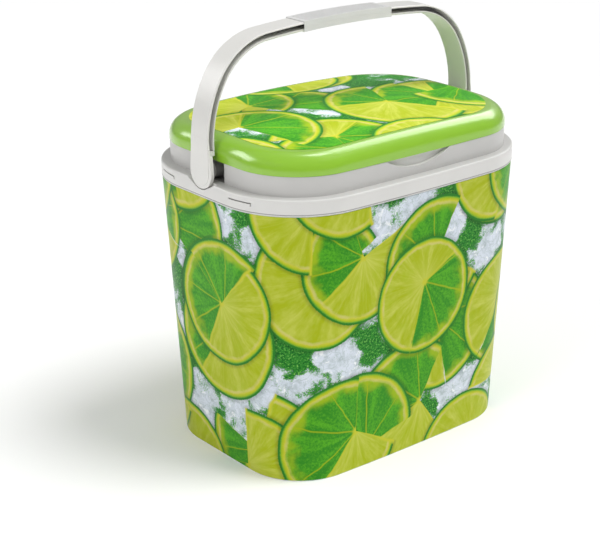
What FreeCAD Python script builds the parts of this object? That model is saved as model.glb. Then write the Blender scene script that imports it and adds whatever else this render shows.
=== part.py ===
import FreeCAD, Part

import math
import os

import Sketcher

# A picnic cool box: an insulated tapered box with a printed wrap, a grey rim collar, a domed
# lift-off lid and a bail handle that snaps into sockets in the collar's two short ends.
# Millimetres.  Origin: centre of the base on the ground.  +X long side, +Y back, +Z up.

DRIVING_SIZES = {
    # Outer shell, tapered from the base to the seam under the collar.
    "base_length": 352.6,
    "base_width": 254.0,
    "base_corner": 72.0,
    "seam_level": 322.0,
    "side_bow": 3000.0,
    "shell_wall": 2.4,
    "shell_floor": 2.6,
    "foot_ring_width": 13.0,
    "foot_ring_depth": 3.0,
    "rebate_drop": 8.0,
    "spigot_rise": 6.0,
    # Printed wrap on the outside of the shell.
    "wrap_thickness": 0.3,
    "wrap_margin": 1.0,
    # Clearances.
    "seat_gap": 0.1,
    "film_gap": 0.1,
    "moving_gap": 0.3,
    "trunnion_gap": 0.06,
    # Inner liner, the cavity that holds the food.
    "tub_wall": 21.8,
    "liner_floor_level": 26.0,
    "liner_wall": 1.8,
    "liner_flange_width": 9.0,
    "liner_flange_thickness": 2.0,
    # Rim collar: the band over the shell, the ledge, and the wall that carries the lid.
    "band_length": 396.0,
    "band_width": 290.9,
    "band_corner": 99.0,
    "band_wall": 2.5,
    "band_height": 18.0,
    "band_overhang": 1.0,
    "ledge_end_width": 13.8,
    "ledge_side_width": 10.9,
    "ledge_thickness": 2.6,
    "ledge_edge_radius": 2.2,
    "collar_wall_inset": 0.4,
    "collar_wall": 3.0,
    "collar_wall_height": 22.2,
    "collar_rim_width": 18.2,
    "collar_flange_thickness": 4.4,
    "snap_slot_width": 1.4,
    "snap_slot_length": 31.0,
    "snap_slot_drop": 4.0,
    "snap_slot_offset": 50.0,
    "snap_slot_margin": 6.6,
    # Finger scoops in the collar's long walls.
    "scoop_half_width": 47.0,
    "scoop_height": 12.5,
    "scoop_depth": 5.0,
    # Handle sockets in the collar's short ends.
    "pivot_rise": 10.0,
    "socket_half_width": 30.0,
    "socket_depth": 12.8,
    "recess_half_width": 25.0,
    "recess_depth": 10.8,
    "boss_wall": 3.0,
    "notch_gap": 0.9,
    "notch_flare": 5.0,
    # Bail handle.
    "bail_width": 31.0,
    "bail_thickness": 9.6,
    "bail_rise": 149.0,
    "bail_upper_inset": 18.1,
    "bail_upper_radius": 140.0,
    "bail_shoulder_radius": 85.0,
    "bail_crown_radius": 1300.0,
    "bail_flange": 2.0,
    "bail_web": 3.0,
    "bail_edge": 0.9,
    "strap_half_width": 19.2,
    "strap_rise": 20.0,
    "strap_lead": 5.0,
    "strap_flare": 18.0,
    "strap_thickness": 5.0,
    "strap_rim_width": 3.8,
    "strap_rim_step": 0.6,
    "trunnion_radius": 7.0,
    "trunnion_length": 19.7,
    # Grip, two half sleeves around the middle of the bail.
    "grip_half_length": 64.0,
    "grip_wall": 1.1,
    "grip_rib_width": 1.5,
    "grip_rib_pitch": 3.2,
    "grip_rib_depth": 0.5,
    # Lid.
    "lid_corner": 80.0,
    "lid_height": 30.5,
    "lid_length_crown": 2700.0,
    "lid_width_crown": 1300.0,
    "lid_shoulder_radius": 19.0,
    "lid_wall": 2.5,
    "lid_border": 19.4,
    "lid_print_corner": 70.0,
    "lid_print_film": 0.25,
    "lid_panel_thickness": 2.0,
    "plug_depth": 12.0,
    "plug_gap": 1.6,
    "plug_draft": 1.5,
}

GRIP_RIB_COUNT = 37
ENDS = {"left": -1, "right": 1}

doc = FreeCAD.newDocument("cool_box")


class Size:
    """A length with its number and the spreadsheet expression that keeps it up to date."""

    def __init__(self, number, text):
        self.number = number
        self.text = text

    @staticmethod
    def of(other):
        return other if isinstance(other, Size) else Size(float(other), repr(float(other)))

    def __add__(self, other):
        other = Size.of(other)
        return Size(self.number + other.number, f"({self.text} + {other.text})")

    def __sub__(self, other):
        other = Size.of(other)
        return Size(self.number - other.number, f"({self.text} - {other.text})")

    def __mul__(self, other):
        other = Size.of(other)
        return Size(self.number * other.number, f"({self.text} * {other.text})")

    def __truediv__(self, other):
        other = Size.of(other)
        return Size(self.number / other.number, f"({self.text} / {other.text})")

    def __neg__(self):
        return self * -1

    def root(self):
        return Size(math.sqrt(self.number), f"sqrt({self.text})")


def write_sheet():
    """Put every driving size in the spreadsheet, one row each, with its name as the alias."""
    sheet = doc.addObject("Spreadsheet::Sheet", "Dims")
    for row, (name, number) in enumerate(DRIVING_SIZES.items(), start=1):
        sheet.set(f"A{row}", name)
        sheet.set(f"B{row}", str(number))
        sheet.setAlias(f"B{row}", name)
    doc.recompute()
    return sheet


sheet = write_sheet()


def dim(name):
    return Size(float(getattr(sheet, name)), f"Dims.{name}")


def bind(thing, field, size):
    """Tie one property of an object to its size."""
    thing.setExpression(field, Size.of(size).text)


# ---------------------------------------------------------------- sketches and features


def new_body(label):
    body = doc.addObject("PartDesign::Body", label)
    body.Label = label
    return body


def origin_plane(body, role):
    return next(item for item in body.Origin.OriginFeatures if item.Role == role)


def new_sketch(body, name, role, offset=None):
    """A sketch on one of the body's origin planes, moved along the plane's normal."""
    sketch = body.newObject("Sketcher::SketchObject", name)
    sketch.AttachmentSupport = (origin_plane(body, role), "")
    sketch.MapMode = "FlatFace"
    if offset is not None:
        sketch.AttachmentOffset = FreeCAD.Placement(
            FreeCAD.Vector(0, 0, offset.number), FreeCAD.Rotation()
        )
        bind(sketch, "AttachmentOffset.Base.z", offset)
    return sketch


def constrain(sketch, name, size, *arguments):
    """Add a dimensional constraint tied to its size."""
    index = sketch.addConstraint(Sketcher.Constraint(*arguments, size.number))
    sketch.renameConstraint(index, name)
    bind(sketch, f"Constraints.{name}", size)


def close_polygon(sketch, points):
    """Draw a closed polygon whose corners are pinned to (u, v) sizes from the sketch origin."""
    corners = [FreeCAD.Vector(u.number, v.number, 0) for u, v in points]
    count = len(corners)
    for index in range(count):
        sketch.addGeometry(Part.LineSegment(corners[index], corners[(index + 1) % count]), False)
    for index in range(count):
        sketch.addConstraint(
            Sketcher.Constraint("Coincident", index, 2, (index + 1) % count, 1)
        )
    for index, (u, v) in enumerate(points):
        pin_point(sketch, f"corner{index}", index, 1, u, v)


def pin_point(sketch, name, geometry, end, u, v):
    """Pin one point of a sketch at (u, v) from the sketch origin."""
    for axis, size in (("X", u), ("Y", v)):
        constrain(sketch, f"{name}{axis}", size, f"Distance{axis}", -1, 1, geometry, end)


def rectangle(sketch, low_u, high_u, low_v, high_v):
    low_u, high_u, low_v, high_v = (Size.of(value) for value in (low_u, high_u, low_v, high_v))
    close_polygon(sketch, [(low_u, low_v), (high_u, low_v), (high_u, high_v), (low_u, high_v)])


def arc_between(centre, start, end):
    """The shorter arc about centre, counter-clockwise from start to end."""
    radius = start.sub(centre).Length
    first = math.atan2(start.y - centre.y, start.x - centre.x)
    last = math.atan2(end.y - centre.y, end.x - centre.x)
    circle = Part.Circle(centre, FreeCAD.Vector(0, 0, 1), radius)
    return Part.ArcOfCircle(circle, first, last if last > first else last + 2 * math.pi)


def box_outline(body, name, outline, level, inset=0.0):
    """A level outline of the box: straight short ends, round corners and slightly bowed long sides.

    outline is (length, width, corner radius); inset shrinks it on every side.
    """
    inset = Size.of(inset)
    half_length = outline[0] / 2 - inset
    half_width = outline[1] / 2 - inset
    corner = outline[2] - inset
    bow = dim("side_bow") - inset

    sketch = new_sketch(body, name, "XY_Plane", level)
    along = half_length.number - corner.number
    bow_centre = half_width.number - bow.number
    across = bow_centre + math.sqrt((bow.number - corner.number) ** 2 - along**2)
    reach = corner.number / (bow.number - corner.number)
    touch = FreeCAD.Vector(along * (1 + reach), across + (across - bow_centre) * reach, 0)

    def mirrored(point, sign_x, sign_y):
        return FreeCAD.Vector(sign_x * point.x, sign_y * point.y, 0)

    end_point = FreeCAD.Vector(half_length.number, across, 0)
    corner_centre = FreeCAD.Vector(along, across, 0)
    back_centre = FreeCAD.Vector(0, bow_centre, 0)
    front_centre = FreeCAD.Vector(0, -bow_centre, 0)
    pieces = [
        Part.LineSegment(mirrored(end_point, 1, -1), end_point),
        arc_between(corner_centre, end_point, touch),
        arc_between(back_centre, touch, mirrored(touch, -1, 1)),
        arc_between(
            mirrored(corner_centre, -1, 1), mirrored(touch, -1, 1), mirrored(end_point, -1, 1)
        ),
        Part.LineSegment(mirrored(end_point, -1, 1), mirrored(end_point, -1, -1)),
        arc_between(
            mirrored(corner_centre, -1, -1), mirrored(end_point, -1, -1), mirrored(touch, -1, -1)
        ),
        arc_between(front_centre, mirrored(touch, -1, -1), mirrored(touch, 1, -1)),
        arc_between(
            mirrored(corner_centre, 1, -1), mirrored(touch, 1, -1), mirrored(end_point, 1, -1)
        ),
    ]
    for piece in pieces:
        sketch.addGeometry(piece, False)
    right, first_corner, back, left, front = 0, 1, 2, 4, 6
    for index in range(len(pieces)):
        following = (index + 1) % len(pieces)
        sketch.addConstraint(Sketcher.Constraint("Tangent", index, 2, following, 1))
    for index in (right, left):
        sketch.addConstraint(Sketcher.Constraint("Vertical", index))
    for index in (3, 5, 7):
        sketch.addConstraint(Sketcher.Constraint("Equal", first_corner, index))
    sketch.addConstraint(Sketcher.Constraint("Equal", back, front))
    for index in (back, front):
        sketch.addConstraint(Sketcher.Constraint("PointOnObject", index, 3, -2))
    constrain(sketch, "corner", corner, "Radius", first_corner)
    constrain(sketch, "bow", bow, "Radius", back)
    constrain(sketch, "right_reach", half_length, "DistanceX", -1, 1, right, 1)
    constrain(sketch, "left_reach", half_length, "DistanceX", left, 1, -1, 1)
    constrain(sketch, "back_centre", bow - half_width, "DistanceY", back, 3, -1, 1)
    constrain(sketch, "front_centre", bow - half_width, "DistanceY", -1, 1, front, 3)
    return sketch


def loft(body, name, lower, upper, cut=False):
    """Join or cut the ruled solid between two level outlines."""
    kind = "PartDesign::SubtractiveLoft" if cut else "PartDesign::AdditiveLoft"
    feature = body.newObject(kind, name)
    feature.Profile = lower
    feature.Sections = [upper]
    feature.Ruled = True
    lower.Visibility = False
    upper.Visibility = False
    return feature


def pad(body, name, sketch, length, both_ways=False, backwards=False):
    feature = body.newObject("PartDesign::Pad", name)
    feature.Profile = sketch
    return set_extent(feature, length, both_ways, backwards)


def pocket(body, name, sketch, length, both_ways=False, backwards=False):
    feature = body.newObject("PartDesign::Pocket", name)
    feature.Profile = sketch
    return set_extent(feature, length, both_ways, backwards)


def set_extent(feature, length, both_ways, backwards):
    length = Size.of(length)
    feature.Length = length.number
    bind(feature, "Length", length)
    if both_ways:
        feature.SideType = "Symmetric"
    feature.Reversed = backwards
    return feature


def blend(outline_low, outline_high, low, high, level):
    """The outline at a level between two others, each size in proportion."""
    share = (level - low) / (high - low)
    return tuple(a + (b - a) * share for a, b in zip(outline_low, outline_high))


def names(*words):
    return tuple(dim(word) for word in words)


def stepped_in(outline, ends, sides, corner):
    """An outline whose short ends and long sides step in from another, with its own corner radius."""
    return (outline[0] - ends * 2, outline[1] - sides * 2, corner)


def ring_inside(outline, margin):
    """An outline at the same margin inside another all round."""
    return stepped_in(outline, margin, margin, outline[2] - margin)


# Every outline steps in from the band or from the shell's base.
SHELL_BASE = names("base_length", "base_width", "base_corner")
BAND = names("band_length", "band_width", "band_corner")
SHELL_SEAM = ring_inside(BAND, dim("band_overhang"))
LID = stepped_in(BAND, dim("ledge_end_width"), dim("ledge_side_width"), dim("lid_corner"))
MOUTH = ring_inside(LID, dim("collar_rim_width"))
LINER_BASE = ring_inside(SHELL_BASE, dim("tub_wall"))
LID_PRINT = stepped_in(LID, dim("lid_border"), dim("lid_border"), dim("lid_print_corner"))

# Levels, stacked from the ground.
GROUND = Size.of(0.0)
SEAM = dim("seam_level")
LEDGE = SEAM + dim("band_height")
COLLAR_TOP = LEDGE + dim("collar_wall_height")
LID_SEAT = COLLAR_TOP + dim("moving_gap")
LID_CROWN = LID_SEAT + dim("lid_height")
PIVOT = LEDGE + dim("pivot_rise")
STRAP_TOP = PIVOT + dim("strap_rise")
GROOVE_START = STRAP_TOP + dim("strap_lead")
BAIL_TOP = PIVOT + dim("bail_rise")

# The bail's outer faces stand level with the ends of the band.
BAIL_FACE = BAND[0] / 2


def shell_outline(level):
    return blend(SHELL_BASE, SHELL_SEAM, GROUND, SEAM, level)


# ---------------------------------------------------------------- the box


def make_outer_shell():
    """The tapered outer shell with its foot ring and the spigot that the collar snaps over."""
    body = new_body("outer_shell")
    seam = SEAM
    shoulder = seam - dim("rebate_drop")
    spigot_inset = dim("band_wall") + dim("seat_gap")
    floor = dim("foot_ring_depth") + dim("shell_floor")
    wall = dim("shell_wall")
    loft(body, "shell_outside",
         box_outline(body, "shell_foot", SHELL_BASE, GROUND),
         box_outline(body, "shell_seam", SHELL_SEAM, seam))
    pad(body, "spigot", box_outline(body, "spigot_outline", SHELL_SEAM, shoulder, spigot_inset),
        dim("rebate_drop") + dim("spigot_rise"))
    loft(body, "shell_cavity",
         box_outline(body, "cavity_floor", shell_outline(floor), floor, wall),
         box_outline(body, "cavity_shoulder", shell_outline(shoulder), shoulder, wall), cut=True)
    pocket(body, "shell_mouth",
           box_outline(body, "mouth_edge", SHELL_SEAM, shoulder, spigot_inset + wall),
           dim("rebate_drop") + dim("spigot_rise"), backwards=True)
    pocket(body, "foot_ring",
           box_outline(body, "foot_ring_edge", SHELL_BASE, GROUND, dim("foot_ring_width")),
           dim("foot_ring_depth"), backwards=True)
    return body


def make_body_wrap():
    """The printed film around the shell."""
    body = new_body("body_wrap")
    low = dim("wrap_margin")
    high = SEAM - dim("wrap_margin")
    for name, inset, cut in (("film_outside", -dim("wrap_thickness") - dim("film_gap"), False),
                             ("film_inside", -dim("film_gap"), True)):
        loft(body, name,
             box_outline(body, f"{name}_low", shell_outline(low), low, inset),
             box_outline(body, f"{name}_high", shell_outline(high), high, inset), cut=cut)
    return body


def liner_outline(level):
    return blend(LINER_BASE, MOUTH, dim("liner_floor_level"), COLLAR_TOP, level)


def make_body_insulation():
    """The foam tub between the shell and the liner."""
    body = new_body("body_insulation")
    gap = dim("seat_gap")
    low = dim("foot_ring_depth") + dim("shell_floor") + gap
    high = SEAM - dim("rebate_drop") - gap
    bed = dim("liner_floor_level") - dim("liner_wall") - gap
    inset = dim("shell_wall") + gap
    room = dim("liner_wall") + gap
    loft(body, "foam_outside",
         box_outline(body, "foam_low", shell_outline(low), low, inset),
         box_outline(body, "foam_high", shell_outline(high), high, inset))
    loft(body, "foam_inside",
         box_outline(body, "foam_bed", liner_outline(bed), bed, -room),
         box_outline(body, "foam_mouth", liner_outline(high), high, -room), cut=True)
    return body


def make_inner_liner():
    """The white liner: a drafted tub with a flange that seats in the collar."""
    body = new_body("inner_liner")
    top = COLLAR_TOP
    floor = dim("liner_floor_level")
    under = floor - dim("liner_wall")
    flange = dim("liner_flange_thickness")
    loft(body, "liner_outside",
         box_outline(body, "liner_under", liner_outline(under), under, -dim("liner_wall")),
         box_outline(body, "liner_top", MOUTH, top, -dim("liner_wall")))
    pad(body, "liner_flange",
        box_outline(body, "liner_flange_edge", MOUTH, top - flange, -dim("liner_flange_width")),
        flange)
    loft(body, "liner_cavity",
         box_outline(body, "liner_floor", LINER_BASE, floor),
         box_outline(body, "liner_mouth", MOUTH, top), cut=True)
    return body


# ---------------------------------------------------------------- the rim collar


def mirrored_rectangles(body, name, low_x, high_x, half_width, level):
    """A sketch of two level rectangles, one at each short end."""
    sketches = []
    for end, sign in ENDS.items():
        sketch = new_sketch(body, f"{name}_{end}", "XY_Plane", level)
        near, far = (low_x, high_x) if sign > 0 else (-high_x, -low_x)
        rectangle(sketch, near, far, -half_width, half_width)
        sketches.append(sketch)
    return sketches


def make_rim_collar():
    """The grey collar: band, ledge, lid wall, handle sockets and finger scoops."""
    body = new_body("rim_collar")
    seam = SEAM
    ledge = LEDGE
    top = COLLAR_TOP
    ledge_under = ledge - dim("ledge_thickness")
    flange_under = top - dim("collar_flange_thickness")
    outer_inset = dim("collar_wall_inset")
    wall_inset = outer_inset + dim("collar_wall")
    wall_face = LID[0] / 2 - outer_inset
    long_face = LID[1] / 2 - outer_inset
    spigot_top = seam + dim("spigot_rise")
    socket_face = wall_face - dim("socket_depth")

    # Band, ledge and lid wall, with the hollow under them.
    pad(body, "band", box_outline(body, "band_edge", BAND, seam), ledge - seam)
    pad(body, "lid_wall", box_outline(body, "lid_wall_edge", LID, ledge_under, outer_inset),
        top - ledge_under)
    pocket(body, "band_hollow", box_outline(body, "band_hollow_edge", BAND, seam, dim("band_wall")),
           ledge_under - seam, backwards=True)
    pocket(body, "wall_hollow", box_outline(body, "wall_hollow_edge", LID, ledge_under, wall_inset),
           flange_under - ledge_under, backwards=True)

    # Backing blocks for the sockets and the scoops.
    for sketch in mirrored_rectangles(body, "socket_foot", socket_face,
                                      BAND[0] / 2 - dim("band_wall") / 2,
                                      dim("socket_half_width"), spigot_top + dim("moving_gap")):
        pad(body, f"{sketch.Name}_block", sketch, ledge_under + 1 - spigot_top)
    for sketch in mirrored_rectangles(body, "socket_wall", socket_face,
                                      wall_face - 1.0, dim("socket_half_width"),
                                      spigot_top + dim("moving_gap")):
        pad(body, f"{sketch.Name}_block", sketch, flange_under + 1 - spigot_top)
    scoop_radius = (dim("scoop_half_width") * dim("scoop_half_width")
                    + dim("scoop_height") * dim("scoop_height")) / (dim("scoop_height") * 2)
    scoop_floor = long_face - dim("scoop_depth")
    for side, sign in (("front", -1), ("back", 1)):
        backing = new_sketch(body, f"scoop_backing_{side}", "XY_Plane", ledge_under + 1)
        near, far = scoop_floor - dim("collar_wall"), long_face - 2
        low, high = (near, far) if sign > 0 else (-far, -near)
        rectangle(backing, -dim("scoop_half_width") - 5, dim("scoop_half_width") + 5, low, high)
        pad(body, f"scoop_block_{side}", backing, flange_under - ledge_under)

    # The liner hangs in a rebate around the mouth.
    pocket(body, "mouth_rebate",
           box_outline(body, "mouth_rebate_edge", MOUTH,
                       top - dim("liner_flange_thickness") - dim("seat_gap"),
                       -dim("liner_flange_width") - dim("seat_gap")),
           dim("liner_flange_thickness") + 1, backwards=True)
    pocket(body, "mouth_hole",
           box_outline(body, "mouth_hole_edge", MOUTH, flange_under,
                       -dim("liner_wall") - dim("seat_gap")),
           dim("collar_flange_thickness"), backwards=True)

    # Finger scoops, a shallow arc under the lid's edge on both long walls.
    for side, sign in (("front", -1), ("back", 1)):
        sketch = new_sketch(body, f"scoop_arc_{side}", "XZ_Plane", scoop_floor * -sign)
        centre_level = top - dim("scoop_height") + scoop_radius
        sketch.addGeometry(Part.Circle(FreeCAD.Vector(0, centre_level.number, 0),
                                       FreeCAD.Vector(0, 0, 1), scoop_radius.number), False)
        constrain(sketch, "radius", scoop_radius, "Radius", 0)
        sketch.addConstraint(Sketcher.Constraint("PointOnObject", 0, 3, -2))
        constrain(sketch, "height", centre_level, "DistanceY", -1, 1, 0, 3)
        pocket(body, f"scoop_{side}", sketch, dim("scoop_depth") * 2, backwards=sign < 0)

    # Sockets: a deep recess behind the strap, a boss in it with the bore, and a notch in the band.
    recess_floor = wall_face - dim("recess_depth")
    notch_radius = dim("strap_half_width") + dim("notch_gap")
    notch_back = BAIL_FACE - dim("strap_thickness") - dim("notch_gap")
    shoulder = notch_radius + dim("notch_flare")
    for end, sign in ENDS.items():
        recess = new_sketch(body, f"recess_{end}", "YZ_Plane", recess_floor * sign)
        rectangle(recess, -dim("recess_half_width"), dim("recess_half_width"), ledge,
                  top + dim("moving_gap"))
        pocket(body, f"recess_cut_{end}", recess, dim("recess_depth") * 2, backwards=sign > 0)
        boss = new_sketch(body, f"boss_{end}", "YZ_Plane", recess_floor * sign)
        level_circle(boss, dim("trunnion_radius") + dim("trunnion_gap") + dim("boss_wall"))
        pad(body, f"boss_post_{end}", boss, notch_back - dim("notch_gap") - recess_floor,
            backwards=sign < 0)
        notch = new_sketch(body, f"notch_{end}", "YZ_Plane", notch_back * sign)
        notch_outline(notch, notch_radius, shoulder, ledge)
        pocket(body, f"notch_cut_{end}", notch, dim("strap_thickness") * 2, backwards=sign > 0)
        bore = new_sketch(body, f"bore_{end}", "YZ_Plane", BAIL_FACE * sign)
        level_circle(bore, dim("trunnion_radius") + dim("trunnion_gap"))
        pocket(body, f"bore_cut_{end}", bore,
               dim("strap_thickness") + dim("trunnion_length") + dim("moving_gap"),
               backwards=sign < 0)
        snap_slots(body, end, sign)
    return round_ledge(body, ledge)


def level_circle(sketch, radius):
    """A circle about the handle's pivot."""
    level = PIVOT
    sketch.addGeometry(Part.Circle(FreeCAD.Vector(0, level.number, 0),
                                   FreeCAD.Vector(0, 0, 1), radius.number), False)
    sketch.addConstraint(Sketcher.Constraint("PointOnObject", 0, 3, -2))
    constrain(sketch, "radius", radius, "Radius", 0)
    constrain(sketch, "height", level, "DistanceY", -1, 1, 0, 3)


def notch_outline(sketch, radius, shoulder, ledge):
    """A round-bottomed notch about the pivot whose sides slope out to the shoulders at the ledge."""
    level = PIVOT
    centre = FreeCAD.Vector(0, level.number, 0)
    drop = level.number - ledge.number
    reach = math.hypot(shoulder.number, drop)
    tangent = math.atan2(-drop, shoulder.number) - math.acos(radius.number / reach)
    root = FreeCAD.Vector(math.cos(tangent), math.sin(tangent), 0).multiply(radius.number)
    right_root = centre.add(root)
    left_root = FreeCAD.Vector(-right_root.x, right_root.y, 0)
    right_low = FreeCAD.Vector(shoulder.number, ledge.number, 0)
    right_high = FreeCAD.Vector(shoulder.number, level.number, 0)
    left_high = FreeCAD.Vector(-shoulder.number, level.number, 0)
    left_low = FreeCAD.Vector(-shoulder.number, ledge.number, 0)
    sketch.addGeometry(arc_between(centre, left_root, right_root), False)
    route = [right_root, right_low, right_high, left_high, left_low, left_root]
    for start, finish in zip(route, route[1:]):
        sketch.addGeometry(Part.LineSegment(start, finish), False)
    last = len(route) - 1
    for index in range(1, last):
        sketch.addConstraint(Sketcher.Constraint("Coincident", index, 2, index + 1, 1))
    sketch.addConstraint(Sketcher.Constraint("Tangent", 0, 2, 1, 1))
    sketch.addConstraint(Sketcher.Constraint("Tangent", last, 2, 0, 1))
    sketch.addConstraint(Sketcher.Constraint("PointOnObject", 0, 3, -2))
    constrain(sketch, "height", level, "DistanceY", -1, 1, 0, 3)
    constrain(sketch, "radius", radius, "Radius", 0)
    pin_point(sketch, "right_low", 2, 1, shoulder, ledge)
    pin_point(sketch, "right_high", 3, 1, shoulder, level)
    pin_point(sketch, "left_high", 4, 1, -shoulder, level)
    pin_point(sketch, "left_low", 5, 1, -shoulder, ledge)


def snap_slots(body, end, sign):
    """The bent slots that free the collar's snap tongues, two on each short end."""
    start = dim("snap_slot_offset")
    finish = start + dim("snap_slot_length")
    width = dim("snap_slot_width")
    level = LEDGE - dim("snap_slot_margin")
    foot = level - dim("snap_slot_drop")
    back = BAND[0] / 2 - dim("band_wall") * 5
    for side, low, high in (("front", -finish, -start), ("back", start, finish)):
        sketch = new_sketch(body, f"slot_{end}_{side}", "YZ_Plane", back * sign)
        close_polygon(sketch, [(low, foot), (low + width, foot), (low + width, level - width),
                               (high, level - width), (high, level), (low, level)])
        pocket(body, f"slot_cut_{end}_{side}", sketch, dim("band_wall") * 6, backwards=sign > 0)


def round_ledge(body, ledge):
    """Round the band's top outer edge."""
    doc.recompute()
    solid = body.Tip
    edges = []
    for index, edge in enumerate(solid.Shape.Edges, start=1):
        box = edge.BoundBox
        flat = abs(box.ZMin - ledge.number) < 1e-4 and abs(box.ZMax - ledge.number) < 1e-4
        if flat and on_outline(edge, BAND):
            edges.append(f"Edge{index}")
    fillet = body.newObject("PartDesign::Fillet", "ledge_edge")
    fillet.Base = (solid, edges)
    bind(fillet, "Radius", dim("ledge_edge_radius"))
    return body


def on_outline(edge, outline):
    """Whether an edge lies on the long outline of the band: on its ends, corners or bowed sides."""
    middle = edge.valueAt((edge.FirstParameter + edge.LastParameter) / 2)
    half_length = outline[0].number / 2
    half_width = outline[1].number / 2
    corner = outline[2].number
    bow = dim("side_bow").number
    across = half_width - bow + math.sqrt((bow - corner) ** 2 - (half_length - corner) ** 2)
    x, y = abs(middle.x), abs(middle.y)
    if abs(x - half_length) < 1e-3 and y < across:
        return True
    if abs(math.hypot(x, y - half_width + bow) - bow) < 1e-3:
        return True
    return abs(math.hypot(x - half_length + corner, y - across) - corner) < 1e-3


# ---------------------------------------------------------------- the handle


def bail_path(body, start):
    """The middle line of one half of the bail: straight, two corner arcs and a flat crown arc."""
    half = dim("bail_thickness") / 2
    reach = BAIL_FACE - half
    crown = BAIL_TOP - half
    run = dim("bail_upper_inset")
    radii = [dim(name) - half for name in
             ("bail_upper_radius", "bail_shoulder_radius", "bail_crown_radius")]

    # Centres that make the arcs meet tangentially, with the crown's centre on the mid plane.
    upper, shoulder, top = (radius.number for radius in radii)
    turn = math.acos(1 - run.number / upper)
    shoulder_x = reach.number - upper + (upper - shoulder) * math.cos(turn)
    finish = math.acos(shoulder_x / (top - shoulder))
    crown_z = crown.number - top
    shoulder_z = crown_z + (top - shoulder) * math.sin(finish)
    upper_z = shoulder_z - (upper - shoulder) * math.sin(turn)
    centres = [FreeCAD.Vector(reach.number - upper, upper_z, 0),
               FreeCAD.Vector(shoulder_x, shoulder_z, 0), FreeCAD.Vector(0, crown_z, 0)]
    turns = [0.0, turn, finish, math.pi / 2]

    sketch = new_sketch(body, "bail_path", "XZ_Plane")
    sketch.addGeometry(Part.LineSegment(FreeCAD.Vector(reach.number, start.number, 0),
                                        FreeCAD.Vector(reach.number, upper_z, 0)), False)
    for index, centre in enumerate(centres):
        circle = Part.Circle(centre, FreeCAD.Vector(0, 0, 1), radii[index].number)
        sketch.addGeometry(Part.ArcOfCircle(circle, turns[index], turns[index + 1]), False)
    for index in range(3):
        sketch.addConstraint(Sketcher.Constraint("Tangent", index, 2, index + 1, 1))
        constrain(sketch, f"radius{index}", radii[index], "Radius", index + 1)
    sketch.addConstraint(Sketcher.Constraint("Vertical", 0))
    sketch.addConstraint(Sketcher.Constraint("PointOnObject", 3, 3, -2))
    sketch.addConstraint(Sketcher.Constraint("PointOnObject", 3, 2, -2))
    pin_point(sketch, "start", 0, 1, reach, start)
    constrain(sketch, "crown", crown, "DistanceY", -1, 1, 3, 2)
    constrain(sketch, "turn_point", reach - run, "DistanceX", -1, 1, 1, 2)
    return sketch


def bail_section(body, level):
    """The H section: two flanges joined by a web, with the outer long edges broken."""
    outer = BAIL_FACE
    inner = outer - dim("bail_thickness")
    flange = dim("bail_flange")
    side = dim("bail_width") / 2
    web = dim("bail_web") / 2
    edge = dim("bail_edge")
    quarter = [(outer, side - edge), (outer - edge, side), (outer - flange, side),
               (outer - flange, web), (inner + flange, web), (inner + flange, side),
               (inner + edge, side), (inner, side - edge)]
    other = [(x, -y) for x, y in reversed(quarter)]
    sketch = new_sketch(body, "bail_section", "XY_Plane", level)
    close_polygon(sketch, quarter + other)
    return sketch


def make_handle_bail():
    """The bail: H section over the top, plain straps at the pivots, and trunnions inside them."""
    body = new_body("bail_half")
    outer = BAIL_FACE
    side = dim("bail_width") / 2
    pivot = PIVOT
    strap_top = STRAP_TOP
    groove_start = GROOVE_START
    edge = dim("bail_edge")

    # The strap's lower end is wider than the arch; its outer skin tapers up into the arch.
    wide = dim("strap_half_width")
    skin_top = strap_top + dim("strap_flare")
    taper = (wide - side) / (skin_top - pivot)
    neck = wide - taper * (strap_top - pivot)
    strap = new_sketch(body, "strap", "YZ_Plane", outer - dim("strap_thickness"))
    strap_outline(strap, wide, pivot, neck, strap_top)
    pad(body, "strap_plate", strap, dim("strap_thickness"))
    skin = new_sketch(body, "strap_skin", "YZ_Plane", outer - dim("bail_flange"))
    close_polygon(skin, [(-neck, strap_top), (neck, strap_top), (side, skin_top), (-side, skin_top)])
    pad(body, "strap_skin_plate", skin, dim("bail_flange"))
    break_strap_edge(body, outer)
    rim = new_sketch(body, "strap_rim", "YZ_Plane", outer)
    rim_outline(rim, wide - dim("strap_rim_width"), wide + dim("strap_rim_width"), pivot, skin_top)
    pocket(body, "strap_rim_step", rim, dim("strap_rim_step"))

    root = new_sketch(body, "groove_end", "XY_Plane", strap_top)
    inner = outer - dim("bail_thickness")
    close_polygon(root, [(outer, side - edge), (outer - edge, side), (inner + edge, side),
                         (inner, side - edge), (inner, edge - side), (inner + edge, -side),
                         (outer - edge, -side), (outer, edge - side)])
    pad(body, "groove_end_block", root, groove_start - strap_top)

    pipe = body.newObject("PartDesign::AdditivePipe", "bail_arch")
    pipe.Profile = bail_section(body, groove_start)
    pipe.Spine = bail_path(body, groove_start)

    trunnion = new_sketch(body, "trunnion", "YZ_Plane",
                          outer - dim("strap_thickness") - dim("trunnion_length"))
    level_circle(trunnion, dim("trunnion_radius"))
    pad(body, "trunnion_post", trunnion, dim("trunnion_length") + dim("strap_thickness") / 2)

    mirror = doc.addObject("Part::Mirroring", "bail_other_half")
    mirror.Source = body
    mirror.Normal = FreeCAD.Vector(1, 0, 0)
    bail = doc.addObject("Part::Fuse", "handle_bail")
    bail.Base = body
    bail.Tool = mirror
    bail.Refine = True
    bail.Label = "handle_bail"
    return bail


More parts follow.
